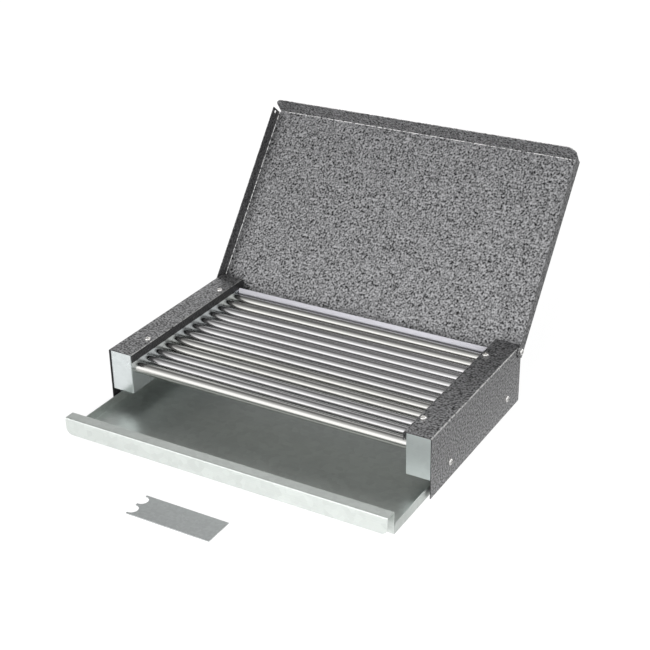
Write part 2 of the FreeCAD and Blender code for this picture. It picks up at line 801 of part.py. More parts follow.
# ---- the whole roaster -----------------------------------------------------------------------
pieces = {
    "right_side_cover": right_cover(right_top_screw_ys),
    "left_side_cover": mirrored(right_cover(left_top_screw_ys)),
    "right_terminal_box": right_box_with_cord_holes(),
    "left_terminal_box": mirrored(right_box(left_top_screw_ys)),
    "right_tray_rail": right_rail(),
    "left_tray_rail": mirrored(right_rail()),
    "rear_plate": rear_plate(),
    "back_panel": back_panel(),
    "lid": open_lid(),
    "drip_tray": drip_tray(),
    "scraper": scraper(),
    "ceramic_cores": group([core(y) for y in tube_ys]),
    "heating_coils": group([coil(y) for y in tube_ys]),
    "right_end_bushes": group([right_bush(y) for y in tube_ys]),
    "left_end_bushes": group([mirrored(right_bush(y)) for y in tube_ys]),
    "right_terminal_pins": group([right_pin(y) for y in tube_ys]),
    "left_terminal_pins": group([mirrored(right_pin(y)) for y in tube_ys]),
    "right_pin_nuts": group([right_pin_nut(y) for y in tube_ys]),
    "left_pin_nuts": group([mirrored(right_pin_nut(y)) for y in tube_ys]),
    "front_busbar": busbar(tube_ys[:front_half], front_tab_y),
    "rear_busbar": busbar(tube_ys[front_half:], rear_tab_y),
    "left_busbar": mirrored(busbar(tube_ys)),
    "terminal_block": terminal_block(),
    "block_sleeves": block_sleeves(),
    "clamp_screws": clamp_screws(),
    "lead_receptacles": group([receptacle(front_tab_y), receptacle(rear_tab_y)]),
    "front_lead": front_lead(),
    "rear_lead": rear_lead(),
    "earth_lead": earth_lead(),
    "earth_ring": earth_ring(),
    "earth_screw": earth_screw(),
    "earth_nut": earth_nut(),
    "cord_gland": cord_gland(),
    "gland_nut": gland_nut(),
    "cover_screws": group(right_cover_screws(right_top_screw_ys)
                          + [mirrored(screw) for screw in right_cover_screws(left_top_screw_ys)]),
    "cover_nuts": group(right_cover_nuts(right_top_screw_ys)
                        + [mirrored(nut) for nut in right_cover_nuts(left_top_screw_ys)]),
    "side_screws": group([half for screw in side_screws() for half in both(screw)]),
    "side_nuts": group([half for nut in side_nuts() for half in both(nut)]),
    "hinge_screws": group(both(hinge_screw())),
    "hinge_washers": group(both(hinge_washer())),
    "hinge_nuts": group(both(hinge_nut())),
    "back_screws": group(back_screws()),
    "back_nuts": group(back_nuts()),
}
for number, y in enumerate(tube_ys, 1):
    pieces[f"heating_tube_{number:02d}"] = tube(y)

# the origin moves under the middle of the outline, on the table
outline = Part.makeCompound([pieces["lid"], pieces["scraper"]]).optimalBoundingBox(True, False)
origin_y = (outline.YMin + outline.YMax) / 2

os.makedirs("parts", exist_ok=True)
for name, shape in pieces.items():
    shape.translate(point(0, -origin_y, 0))
    shape.exportStep(f"parts/{name}.step")
    print(name, len(shape.Solids), "solids", "valid" if shape.isValid() else "NOT VALID")
print("origin moved back by", round(origin_y, 3), "mm")
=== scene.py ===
import math
import bmesh
import bpy
from mathutils import Matrix, Vector


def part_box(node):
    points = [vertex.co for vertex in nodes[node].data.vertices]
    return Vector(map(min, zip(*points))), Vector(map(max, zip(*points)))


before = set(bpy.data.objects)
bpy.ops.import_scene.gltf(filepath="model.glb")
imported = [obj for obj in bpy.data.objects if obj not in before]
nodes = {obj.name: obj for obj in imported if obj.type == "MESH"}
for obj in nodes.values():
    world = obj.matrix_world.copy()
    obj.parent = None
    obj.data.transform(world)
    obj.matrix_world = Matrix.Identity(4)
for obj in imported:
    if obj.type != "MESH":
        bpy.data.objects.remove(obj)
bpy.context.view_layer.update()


# ---- the camera ------------------------------------------------------------------------------
# It stands in front and to the right, a metre and a half away, and looks down at the roaster. It
# is turned to the middle of the body's front, on the table, and then moved right and up a little.
# Angles are written in degrees and distances in metres.
image_width = 650           # pixels
film_width = 36             # millimetres
camera_focal_pixels = 1369.85
camera_turn = math.radians(30.4445)
camera_rise = math.radians(26.9191)
camera_roll = math.radians(-1.043)
camera_distance = 1.46983
camera_aim_right = 0.06702
camera_aim_up = 0.13260
camera_sight = 50           # how far it sees

body_front_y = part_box("right_side_cover")[0].y
back_way = Vector((math.sin(camera_turn) * math.cos(camera_rise),
                   -math.cos(camera_turn) * math.cos(camera_rise),
                   math.sin(camera_rise)))
level_right = Vector((math.cos(camera_turn), math.sin(camera_turn), 0))
level_up = back_way.cross(level_right)
right_way = level_right * math.cos(camera_roll) + level_up * math.sin(camera_roll)
up_way = level_up * math.cos(camera_roll) - level_right * math.sin(camera_roll)
camera_data = bpy.data.cameras.new("camera")
camera_data.sensor_width = film_width
camera_data.lens = camera_focal_pixels * film_width / image_width
camera_data.clip_end = camera_sight
camera = bpy.data.objects.new("camera", camera_data)
camera.matrix_world = Matrix((right_way, up_way, back_way)).transposed().to_4x4()
camera.location = (Vector((0, body_front_y, 0)) + right_way * camera_aim_right
                   + up_way * camera_aim_up + back_way * camera_distance)
bpy.context.scene.collection.objects.link(camera)
bpy.context.scene.camera = camera


# ---- the studio ------------------------------------------------------------------------------
# A white table in a white room. The ceiling is dark, down to the top of a lit backdrop behind the
# table, two white screens stand in front, and a soft light hangs overhead. Polished metal shows
# all of these, while two lamps and an even surround light the roaster itself.
surround_light = 0.45       # of the room's own level, on all but polished metal
room_wall = 1.0
room_darkest = 0.05
# Each light or dark side of the room: the way to its middle, how near that way it starts and is
# full, and what it adds to the wall's level there.
room_sides = (
    ((-0.60, 0.40, 0.75), (0.38, 0.91), -0.77),     # dark ceiling, down to the top of the backdrop
    ((0.0, 0.98, 0.20), (0.62, 0.80), 0.66),        # backdrop behind the table
    ((-0.35, -0.86, 0.28), (0.81, 0.97), 1.0),      # big white screen in front, on the left
    ((0.70, -0.55, 0.45), (0.55, 0.90), 0.15),      # white screen in front, on the right
    ((-0.42, -0.32, 0.85), (0.905, 0.99), 0.36),    # soft light overhead
)
table_size = 12.0
table_colour = (0.9, 0.9, 0.9, 1)
table_own_white = 0.86      # how much of the table's white is its own, not lit by the lamps
table_glow = 1.09
table_dimming = 0.10        # lost where polished metal mirrors the table
card_edge = (0.18, 0.24)    # a grey card lies on the table on the right, and only metal shows it
card_dimming = 0.50


def add_node(tree, kind, inputs=None, **settings):
    """Adds a node to a node tree. An input is a plain value or another node's output."""
    made = tree.nodes.new(kind)
    for name, value in settings.items():
        setattr(made, name, value)
    for name, value in (inputs or {}).items():
        if isinstance(value, bpy.types.NodeSocket):
            tree.links.new(value, made.inputs[name])
        else:
            made.inputs[name].default_value = value
    return made


def studio_room():
    """World with the room's light and dark sides. The camera itself sees plain white."""
    world = bpy.data.worlds.new("studio")
    world.use_nodes = True
    room = world.node_tree
    room.nodes.clear()
    way = add_node(room, "ShaderNodeTexCoord").outputs["Generated"]
    level = room_wall
    for side_way, (side_start, side_full), side_level in room_sides:
        nearness = add_node(room, "ShaderNodeVectorMath",
                            {0: way, 1: Vector(side_way).normalized()}, operation="DOT_PRODUCT")
        side = add_node(room, "ShaderNodeMapRange",
                        {"Value": nearness.outputs["Value"], "From Min": side_start,
                         "From Max": side_full, "To Min": 0.0, "To Max": side_level},
                        interpolation_type="SMOOTHSTEP")
        level = add_node(room, "ShaderNodeMath", {0: level, 1: side.outputs["Result"]},
                         operation="ADD").outputs[0]
    level = add_node(room, "ShaderNodeMath", {0: level, 1: room_darkest}, operation="MAXIMUM")
    path = add_node(room, "ShaderNodeLightPath")
    shown = add_node(room, "ShaderNodeMapRange", {"Value": path.outputs["Is Glossy Ray"],
                     "To Min": surround_light, "To Max": 1.0})
    level = add_node(room, "ShaderNodeMath", {0: level.outputs[0], 1: shown.outputs[0]},
                     operation="MULTIPLY")
    plain_white = add_node(room, "ShaderNodeMath", {0: path.outputs["Is Camera Ray"],
                           1: path.outputs["Is Transmission Ray"]}, operation="MAXIMUM")
    level = add_node(room, "ShaderNodeMix", {"Factor": plain_white.outputs[0],
                     "A": level.outputs[0], "B": 1.0})
    walls = add_node(room, "ShaderNodeBackground", {"Color": (1, 1, 1, 1),
                     "Strength": level.outputs["Result"]})
    add_node(room, "ShaderNodeOutputWorld", {"Surface": walls.outputs[0]})
    return world


def table_white():
    """The camera sees mostly the table's own white, and polished metal sees nothing else."""
    made = bpy.data.materials.new("table white")
    made.use_nodes = True
    tree = made.node_tree
    tree.nodes.clear()
    path = add_node(tree, "ShaderNodeLightPath")
    own = add_node(tree, "ShaderNodeMath", {0: path.outputs["Is Camera Ray"], 1: table_own_white},
                   operation="MULTIPLY")
    own = add_node(tree, "ShaderNodeMath", {0: own.outputs[0], 1: path.outputs["Is Glossy Ray"]},
                   operation="MAXIMUM")
    lit = add_node(tree, "ShaderNodeBsdfDiffuse", {"Color": table_colour})
    place = add_node(tree, "ShaderNodeTexCoord").outputs["Object"]
    place = add_node(tree, "ShaderNodeSeparateXYZ", {"Vector": place})
    card = add_node(tree, "ShaderNodeMapRange",
                    {"Value": place.outputs["X"], "From Min": card_edge[0],
                     "From Max": card_edge[1], "To Min": table_dimming, "To Max": card_dimming})
    card = add_node(tree, "ShaderNodeMath", {0: card.outputs["Result"],
                    1: path.outputs["Is Glossy Ray"]}, operation="MULTIPLY")
    glow = add_node(tree, "ShaderNodeMath", {0: table_glow, 1: card.outputs[0]},
                    operation="SUBTRACT")
    glow = add_node(tree, "ShaderNodeEmission", {"Strength": glow.outputs[0]})
    surface = add_node(tree, "ShaderNodeMixShader",
                       {0: own.outputs[0], 1: lit.outputs[0], 2: glow.outputs[0]})
    add_node(tree, "ShaderNodeOutputMaterial", {"Surface": surface.outputs[0]})
    return made


def softbox(name, place, aim, size, power):
    """Square lamp that faces a point. Polished metal doesn't show it."""
    data = bpy.data.lights.new(name, "AREA")
    data.shape = "SQUARE"
    data.size = size
    data.energy = power
    lamp = bpy.data.objects.new(name, data)
    lamp.visible_glossy = False
    lamp.location = place
    lamp.rotation_euler = (Vector(aim) - Vector(place)).to_track_quat("-Z", "Y").to_euler()
    bpy.context.scene.collection.objects.link(lamp)


bpy.context.scene.view_settings.view_transform = "Standard"
bpy.context.scene.world = studio_room()
table_mesh = bmesh.new()
bmesh.ops.create_grid(table_mesh, x_segments=1, y_segments=1, size=table_size / 2)
table_data = bpy.data.meshes.new("table")
table_mesh.to_mesh(table_data)
table_mesh.free()
table_data.materials.append(table_white())
table = bpy.data.objects.new("table", table_data)
bpy.context.scene.collection.objects.link(table)
softbox("front lamp", place=(0.18, -0.75, 0.08), aim=(0.1, 0.1, 0.1), size=0.4, power=25)
softbox("back lamp", place=(-1.5, 1.6, 1.2), aim=(0, 0, 0.05), size=0.6, power=22)


# ---- terminal boxes, tray rails, rear plate and back panel -----------------------------------
# The frame of the roaster: zinc-coated steel sheet, cut and folded, with the mill's faint rolling
# lines and the soft mottle of zinc crystals. The rear plate's zinc is paler and duller, and the
# rails' feet carry the tray.
zinc_colour = (0.64, 0.68, 0.68, 1)
pale_zinc_colour = (0.315, 0.312, 0.336, 1)
bare_sheet_metallic = 0.93
clouds_per_metre = 14.0
cloud_dulling = 0.2         # how far the clouds move the sheet's roughness
rolling_stretch = (9.0, 900.0, 900.0)
masks_middle = 1.5          # of crystals, clouds and rolling lines, which centre on a half each
crystal_relief = 0.5        # beside the rolling lines' relief
sharp_angle = math.radians(32)
loose_gap = 1e-6
flat_face_weight = 80


def node_group(name, inputs, outputs):
    """Empty shader group with its named sockets, its input node and its output node."""
    group = bpy.data.node_groups.new(name, "ShaderNodeTree")
    for socket, kind, value in inputs:
        made = group.interface.new_socket(socket, in_out="INPUT", socket_type=kind)
        made.default_value = value
    for socket, kind in outputs:
        group.interface.new_socket(socket, in_out="OUTPUT", socket_type=kind)
    return group, group.nodes.new("NodeGroupInput"), group.nodes.new("NodeGroupOutput")


def mottle_group():
    """Sheet metal's mottled colour, its roughness and its rolling lines."""
    group, given, result = node_group(
        "mottled sheet",
        [("Base", "NodeSocketColor", (0.7, 0.7, 0.7, 1)),
         ("Spangles per metre", "NodeSocketFloat", 150.0),
         ("Contrast", "NodeSocketFloat", 0.1),
         ("Roughness", "NodeSocketFloat", 0.4)],
        [("Color", "NodeSocketColor"), ("Roughness", "NodeSocketFloat"),
         ("Height", "NodeSocketFloat")])
    place = add_node(group, "ShaderNodeTexCoord").outputs["Object"]
    crystals = add_node(group, "ShaderNodeTexVoronoi", {"Vector": place,
                        "Scale": given.outputs["Spangles per metre"]})
    cell = add_node(group, "ShaderNodeSeparateColor", {"Color": crystals.outputs["Color"]})
    clouds = add_node(group, "ShaderNodeTexNoise", {"Vector": place, "Scale": clouds_per_metre,
                      "Detail": 3.0})
    rolling_way = add_node(group, "ShaderNodeMapping", {"Vector": place, "Scale": rolling_stretch})
    rolling = add_node(group, "ShaderNodeTexNoise", {"Vector": rolling_way.outputs[0],
                       "Scale": 1.0, "Detail": 2.0})
    shade = add_node(group, "ShaderNodeMath", {0: cell.outputs["Red"], 1: clouds.outputs["Fac"]},
                     operation="ADD")
    shade = add_node(group, "ShaderNodeMath", {0: shade.outputs[0], 1: rolling.outputs["Fac"]},
                     operation="ADD")
    shade = add_node(group, "ShaderNodeMath", {0: shade.outputs[0], 1: masks_middle},
                     operation="SUBTRACT")
    shade = add_node(group, "ShaderNodeMath", {0: shade.outputs[0], 1: given.outputs["Contrast"],
                     2: 1.0}, operation="MULTIPLY_ADD")
    colour = add_node(group, "ShaderNodeVectorMath", {0: given.outputs["Base"],
                      "Scale": shade.outputs[0]}, operation="SCALE")
    group.links.new(colour.outputs[0], result.inputs["Color"])
    dull = add_node(group, "ShaderNodeMath", {0: clouds.outputs["Fac"], 1: 0.5},
                    operation="SUBTRACT")
    dull = add_node(group, "ShaderNodeMath", {0: dull.outputs[0], 1: cloud_dulling,
                    2: given.outputs["Roughness"]}, operation="MULTIPLY_ADD")
    group.links.new(dull.outputs[0], result.inputs["Roughness"])
    relief = add_node(group, "ShaderNodeMath", {0: cell.outputs["Green"], 1: crystal_relief,
                      2: rolling.outputs["Fac"]}, operation="MULTIPLY_ADD")
    group.links.new(relief.outputs[0], result.inputs["Height"])
    return group


def material(name, **values):
    """Material with a Principled shader; values are the shader's plain settings."""
    made = bpy.data.materials.new(name)
    made.use_nodes = True
    surface = made.node_tree.nodes["Principled BSDF"]
    for key, value in values.items():
        surface.inputs[key.replace("_", " ").title()].default_value = value
    return made, made.node_tree, surface


def bump(tree, surface, height, depth):
    """Relief of the given depth in metres."""
    made = add_node(tree, "ShaderNodeBump", {"Height": height, "Distance": depth})
    tree.links.new(made.outputs["Normal"], surface.inputs["Normal"])


mottle = mottle_group()


def sheet_metal(name, colour, roughness, contrast, spangles, relief, metallic=bare_sheet_metallic):
    """Sheet with so many zinc crystals or rolled grains to the metre, and a relief in metres."""
    made, tree, surface = material(name, metallic=metallic)
    skin = add_node(tree, "ShaderNodeGroup", node_tree=mottle)
    skin.inputs["Base"].default_value = colour
    skin.inputs["Spangles per metre"].default_value = spangles
    skin.inputs["Contrast"].default_value = contrast
    skin.inputs["Roughness"].default_value = roughness
    tree.links.new(skin.outputs["Color"], surface.inputs["Base Color"])
    tree.links.new(skin.outputs["Roughness"], surface.inputs["Roughness"])
    bump(tree, surface, skin.outputs["Height"], relief)
    return made


def bend_smoother():
    """Modifier group that joins a part's loose faces, and shades its bends smooth."""
    group = bpy.data.node_groups.new("smooth bends", "GeometryNodeTree")
    group.interface.new_socket("Geometry", in_out="INPUT", socket_type="NodeSocketGeometry")
    group.interface.new_socket("Geometry", in_out="OUTPUT", socket_type="NodeSocketGeometry")
    given = group.nodes.new("NodeGroupInput")
    result = group.nodes.new("NodeGroupOutput")
    joined = add_node(group, "GeometryNodeMergeByDistance", {"Geometry": given.outputs[0],
                      "Distance": loose_gap})
    smooth = add_node(group, "GeometryNodeSetShadeSmooth", {"Geometry": joined.outputs[0],
                      "Shade Smooth": True}, domain="FACE")
    angle = add_node(group, "GeometryNodeInputMeshEdgeAngle")
    sharp = add_node(group, "FunctionNodeCompare", {"A": angle.outputs["Unsigned Angle"],
                     "B": sharp_angle}, data_type="FLOAT", operation="GREATER_THAN")
    creased = add_node(group, "GeometryNodeSetShadeSmooth", {"Geometry": smooth.outputs[0],
                       "Selection": sharp.outputs[0], "Shade Smooth": False}, domain="EDGE")
    group.links.new(creased.outputs[0], result.inputs[0])
    return group


smooth_bends = bend_smoother()


def dress(node, made):
    """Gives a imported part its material, smooth bends and flat faces that stay flat."""
    piece = nodes[node]
    for slot in piece.material_slots:
        slot.material = made
    smoother = piece.modifiers.new("smooth bends", "NODES")
    smoother.node_group = smooth_bends
    flat = piece.modifiers.new("flat faces", "WEIGHTED_NORMAL")
    flat.keep_sharp = True
    flat.weight = flat_face_weight


zinc = sheet_metal("zinc-coated sheet", zinc_colour, roughness=0.28, contrast=0.05,
                   spangles=170.0, relief=0.00001)
for node in ("left_terminal_box", "right_terminal_box", "left_tray_rail", "right_tray_rail",
             "back_panel"):
    dress(node, zinc)
dress("rear_plate", sheet_metal("pale zinc sheet", pale_zinc_colour, roughness=0.5, contrast=0.04,
                                spangles=220.0, relief=0.00001, metallic=0.0))


# ---- side covers -----------------------------------------------------------------------------
# Folded steel sheet in stoved hammer-finish enamel. As it dries, the enamel draws together into
# dark pits two or three millimetres apart, between lighter veins full of aluminium flake. A broken
# bright line along the bends is a painted highlight, and faces that look in towards the middle,
# and the cut ends, are painted dark as shade.
pits_per_metre = 450.0
pit_level = 0.20            # of the wandering film's height, where a pit is darkest
vein_level = 0.80
pit_depth = 0.0003
# The covers' colours are lighter than the lid's: painted light, for the weaker light on the
# covers' tops.
lightened_cover_pit_colour = (0.012, 0.012, 0.0122, 1)
lightened_cover_vein_colour = (0.40, 0.40, 0.407, 1)
enamel_metal = 0.65
enamel_gloss = 0.3
enamel_roughness = 0.36
vein_smoothing = -0.08      # change in roughness from a pit to a vein
flat_facing = 0.995         # how nearly a sheet's flat, and its bend, face one of the flats' ways
bend_facing = 0.965
# A broken bright line along the bends is a painted highlight: these set its breaks and its colour.
highlight_breaks_per_metre = 300.0
highlight_break_level = (0.40, 0.55)   # of the wandering breaks, where the painted highlight starts and is full
cover_bend_highlight_colour = (0.42, 0.42, 0.41, 1)
# Painted shade: faces that look in towards the middle, and cut ends, are darkened to this colour.
painted_shade_colour = (0.035, 0.035, 0.036, 1)
painted_shade_facing = (0.7, 0.9)


def hammered_group():
    """Colour, roughness and relief of hammered enamel."""
    group, given, result = node_group(
        "hammered enamel",
        [("Pits per metre", "NodeSocketFloat", 300.0),
         ("Pit colour", "NodeSocketColor", (0, 0, 0, 1)),
         ("Vein colour", "NodeSocketColor", (1, 1, 1, 1)),
         ("Roughness", "NodeSocketFloat", 0.4)],
        [("Color", "NodeSocketColor"), ("Height", "NodeSocketFloat"),
         ("Roughness", "NodeSocketFloat")])
    place = add_node(group, "ShaderNodeTexCoord").outputs["Object"]
    pits = add_node(group, "ShaderNodeTexNoise", {"Vector": place, "Detail": 0.0,
                    "Scale": given.outputs["Pits per metre"]})
    vein = add_node(group, "ShaderNodeMapRange", {"Value": pits.outputs["Fac"],
                    "From Min": pit_level, "From Max": vein_level})
    colour = add_node(group, "ShaderNodeMix", {"Factor": vein.outputs["Result"],
                      6: given.outputs["Pit colour"], 7: given.outputs["Vein colour"]},
                      data_type="RGBA")
    group.links.new(colour.outputs[2], result.inputs["Color"])
    group.links.new(vein.outputs["Result"], result.inputs["Height"])
    dull = add_node(group, "ShaderNodeMath", {0: vein.outputs["Result"], 1: vein_smoothing,
                    2: given.outputs["Roughness"]}, operation="MULTIPLY_ADD")
    group.links.new(dull.outputs[0], result.inputs["Roughness"])
    return group


hammered = hammered_group()
flat_ways = ("First way", "Second way", "Third way", "Fourth way")


def bend_group():
    """Broken mask of a folded sheet's bends, where a highlight is painted: where it faces none of
    the ways its flats do.
    """
    group, given, result = node_group(
        "bends", [(flat_way, "NodeSocketVector", (0, 0, 0)) for flat_way in flat_ways],
        [("Bend", "NodeSocketFloat")])
    place = add_node(group, "ShaderNodeTexCoord")
    nearest = 0.0
    for flat_way in flat_ways:
        facing = add_node(group, "ShaderNodeVectorMath", {0: place.outputs["Normal"],
                          1: given.outputs[flat_way]}, operation="DOT_PRODUCT")
        facing = add_node(group, "ShaderNodeMath", {0: facing.outputs["Value"]},
                          operation="ABSOLUTE")
        nearest = add_node(group, "ShaderNodeMath", {0: nearest, 1: facing.outputs[0]},
                           operation="MAXIMUM").outputs[0]
    bent = add_node(group, "ShaderNodeMapRange", {"Value": nearest, "From Min": flat_facing,
                    "From Max": bend_facing}, interpolation_type="SMOOTHSTEP")
    breaks = add_node(group, "ShaderNodeTexNoise", {"Vector": place.outputs["Object"],
                      "Detail": 2.0, "Scale": highlight_breaks_per_metre})
    highlight = add_node(group, "ShaderNodeMapRange", {"Value": breaks.outputs["Fac"],
                    "From Min": highlight_break_level[0], "From Max": highlight_break_level[1]})
    highlight = add_node(group, "ShaderNodeMath", {0: bent.outputs["Result"],
                    1: highlight.outputs["Result"]}, operation="MULTIPLY")
    group.links.new(highlight.outputs[0], result.inputs["Bend"])
    return group


bends = bend_group()


def enamel(name, pit_colour, vein_colour, bend_highlight_colour, flats):
    """Hammered enamel on a sheet with flats that face these ways, with a broken painted highlight
    along its bends.
    """
    made, tree, surface = material(name)
    surface.inputs["Specular IOR Level"].default_value = enamel_gloss
    skin = add_node(tree, "ShaderNodeGroup", node_tree=hammered)
    skin.inputs["Pits per metre"].default_value = pits_per_metre
    skin.inputs["Pit colour"].default_value = pit_colour
    skin.inputs["Vein colour"].default_value = vein_colour
    skin.inputs["Roughness"].default_value = enamel_roughness
    folds = add_node(tree, "ShaderNodeGroup", node_tree=bends)
    for flat_way, facing in zip(flat_ways, flats):
        folds.inputs[flat_way].default_value = facing
    # Painted highlight: the bends take a brighter colour, and full metal below.
    colour = add_node(tree, "ShaderNodeMix", {"Factor": folds.outputs["Bend"],
                      6: skin.outputs["Color"], 7: bend_highlight_colour}, data_type="RGBA")
    tree.links.new(colour.outputs[2], surface.inputs["Base Color"])
    tree.links.new(skin.outputs["Roughness"], surface.inputs["Roughness"])
    highlight_metallic = add_node(tree, "ShaderNodeMapRange", {"Value": folds.outputs["Bend"],
                    "To Min": enamel_metal, "To Max": 1.0})
    tree.links.new(highlight_metallic.outputs["Result"], surface.inputs["Metallic"])
    bump(tree, surface, skin.outputs["Height"], pit_depth)
    return made


def paint_inward_shade(made, share, shade_cut_ends):
    """Paints shade on the faces that look in towards the middle, and on the sheet's cut ends if
    asked, by darkening them.
    """
    tree = made.node_tree
    surface = tree.nodes["Principled BSDF"]
    unshaded_colour = surface.inputs["Base Color"].links[0].from_socket
    place = add_node(tree, "ShaderNodeTexCoord")
    across = add_node(tree, "ShaderNodeSeparateXYZ", {"Vector": place.outputs["Object"]})
    facing = add_node(tree, "ShaderNodeSeparateXYZ", {"Vector": place.outputs["Normal"]})
    side = add_node(tree, "ShaderNodeMath", {0: across.outputs["X"]}, operation="SIGN")
    outwards = add_node(tree, "ShaderNodeMath", {0: facing.outputs["X"], 1: side.outputs[0]},
                        operation="MULTIPLY")
    inward_shade = add_node(tree, "ShaderNodeMath", {0: outwards.outputs[0], 1: -1.0},
                    operation="MULTIPLY")
    if shade_cut_ends:
        endwards = add_node(tree, "ShaderNodeMath", {0: facing.outputs["Y"]},
                            operation="ABSOLUTE")
        inward_shade = add_node(tree, "ShaderNodeMath", {0: inward_shade.outputs[0], 1: endwards.outputs[0]},
                        operation="MAXIMUM")
    inward_shade = add_node(tree, "ShaderNodeMapRange",
                    {"Value": inward_shade.outputs[0], "From Min": painted_shade_facing[0],
                     "From Max": painted_shade_facing[1], "To Max": share})
    colour = add_node(tree, "ShaderNodeMix", {"Factor": inward_shade.outputs["Result"], 6: unshaded_colour,
                      7: painted_shade_colour}, data_type="RGBA")
    tree.links.new(colour.outputs[2], surface.inputs["Base Color"])


# The covers take lighter copies of the lid's enamel colours: painted light.
cover_enamel = enamel("cover enamel", lightened_cover_pit_colour, lightened_cover_vein_colour, cover_bend_highlight_colour,
                      flats=((1, 0, 0), (0, 1, 0), (0, 0, 1)))
# Painted shade on the covers' faces that look in towards the middle, and on their cut ends.
paint_inward_shade(cover_enamel, share=1.0, shade_cut_ends=True)
for node in ("left_side_cover", "right_side_cover"):
    dress(node, cover_enamel)


# ---- lid -------------------------------------------------------------------------------------
# One folded sheet in the same enamel inside and out, with two side flanges and a tilted front
# flange. Its middle is plain. Standing open, it leans back from the hinge.
lid_rise = math.radians(51)
front_flange_rise = lid_rise - math.radians(15.4)
lid_pit_colour = (0.006, 0.006, 0.0062, 1)
lid_vein_colour = (0.322, 0.322, 0.329, 1)
# Near white: the lid's bends carry a painted highlight.
lid_bend_highlight_colour = (0.95, 0.95, 0.94, 1)
lid_enamel = enamel("lid enamel", lid_pit_colour, lid_vein_colour, lid_bend_highlight_colour,
                    flats=((1, 0, 0), (0, math.cos(lid_rise), math.sin(lid_rise)),
                           (0, -math.sin(lid_rise), math.cos(lid_rise)),
                           (0, math.cos(front_flange_rise), math.sin(front_flange_rise))))
# Painted shade, at a little over half strength, on the flanges' faces that look in towards the
# middle.
paint_inward_shade(lid_enamel, share=0.55, shade_cut_ends=False)
dress("lid", lid_enamel)


# ---- drip tray -------------------------------------------------------------------------------
# Zinc-coated sheet again, a little darker, warmer and duller than the frame's. The front wall
# turns over into a strip and a lip.
tray_colour = (0.63, 0.665, 0.64, 1)
dress("drip_tray", sheet_metal("tray sheet", tray_colour, roughness=0.37, contrast=0.10,
                               spangles=150.0, relief=0.00002))


# ---- heating tubes ---------------------------------------------------------------------------
# Polished stainless tube, ground round and round and a little smeared, with a faint straw tint on
# the tubes that the heat has coloured. They are numbered from the front.
bright_tube_colour = (0.53, 0.525, 0.53, 1)
straw_tube_colour = (0.53, 0.525, 0.507, 1)
straw_tubes = (1, 4, 5, 11, 12)
grinding_stretch = (2200.0, 90.0, 90.0)
grinding_depth = 0.000004


def stain_group():
    """Roughness and relief of a metal that touch, heat or air has dulled in soft spots."""
    group, given, result = node_group(
        "stained metal",
        [("Spots per metre", "NodeSocketFloat", 100.0), ("Detail", "NodeSocketFloat", 3.0),
         ("Clean level", "NodeSocketFloat", 0.0), ("Stained level", "NodeSocketFloat", 1.0),
         ("Clean roughness", "NodeSocketFloat", 0.1),
         ("Stained roughness", "NodeSocketFloat", 0.3)],
        [("Roughness", "NodeSocketFloat"), ("Height", "NodeSocketFloat")])
    place = add_node(group, "ShaderNodeTexCoord").outputs["Object"]
    spots = add_node(group, "ShaderNodeTexNoise", {"Vector": place,
                     "Scale": given.outputs["Spots per metre"],
                     "Detail": given.outputs["Detail"]})
    dull = add_node(group, "ShaderNodeMapRange", {
        "Value": spots.outputs["Fac"], "From Min": given.outputs["Clean level"],
        "From Max": given.outputs["Stained level"], "To Min": given.outputs["Clean roughness"],
        "To Max": given.outputs["Stained roughness"]})
    group.links.new(dull.outputs["Result"], result.inputs["Roughness"])
    group.links.new(spots.outputs["Fac"], result.inputs["Height"])
    return group


stained = stain_group()


def stain(tree, surface, spots, detail, roughness, levels=(0.0, 1.0)):
    """Dulls a metal in so many spots to the metre, and gives the group for its relief."""
    made = add_node(tree, "ShaderNodeGroup", node_tree=stained)
    made.inputs["Spots per metre"].default_value = spots
    made.inputs["Detail"].default_value = detail
    made.inputs["Clean level"].default_value = levels[0]
    made.inputs["Stained level"].default_value = levels[1]
    made.inputs["Clean roughness"].default_value = roughness[0]
    made.inputs["Stained roughness"].default_value = roughness[1]
    tree.links.new(made.outputs["Roughness"], surface.inputs["Roughness"])
    return made


def tube_steel(name, colour):
    """Polished steel with the grinding belt's fine rings."""
    made, tree, surface = material(name, metallic=1.0, base_color=colour)
    stain(tree, surface, spots=30.0, detail=3.0, roughness=(0.13, 0.21), levels=(0.3, 0.7))
    place = add_node(tree, "ShaderNodeTexCoord").outputs["Object"]
    around = add_node(tree, "ShaderNodeMapping", {"Vector": place, "Scale": grinding_stretch})
    ground = add_node(tree, "ShaderNodeTexNoise", {"Vector": around.outputs[0], "Scale": 1.0,
                      "Detail": 2.0})
    bump(tree, surface, ground.outputs["Fac"], grinding_depth)
    return made


bright_steel = tube_steel("bright tube", bright_tube_colour)
straw_steel = tube_steel("straw tube", straw_tube_colour)
tube_names = sorted(name for name in nodes if name.startswith("heating_tube_"))
for number, name in enumerate(tube_names, 1):
    dress(name, straw_steel if number in straw_tubes else bright_steel)


# ---- ceramic cores and end bushes ------------------------------------------------------------
# Unglazed cream ceramic, pressed and fired: a rod along each tube that carries the heating wire,
# and a bush that closes each end of the tube round its terminal pin.
ceramic_colour = (0.80, 0.77, 0.70, 1)


def grain_group():
    """Relief of a fine even grain, as on fired clay and on mouldings from a spark-cut mould."""
    group, given, result = node_group(
        "fine grain",
        [("Grains per metre", "NodeSocketFloat", 2000.0), ("Detail", "NodeSocketFloat", 2.0)],
        [("Height", "NodeSocketFloat")])
    place = add_node(group, "ShaderNodeTexCoord").outputs["Object"]
    grain = add_node(group, "ShaderNodeTexNoise", {"Vector": place,
                     "Scale": given.outputs["Grains per metre"],
                     "Detail": given.outputs["Detail"]})
    group.links.new(grain.outputs["Fac"], result.inputs["Height"])
    return group


fine_grain = grain_group()


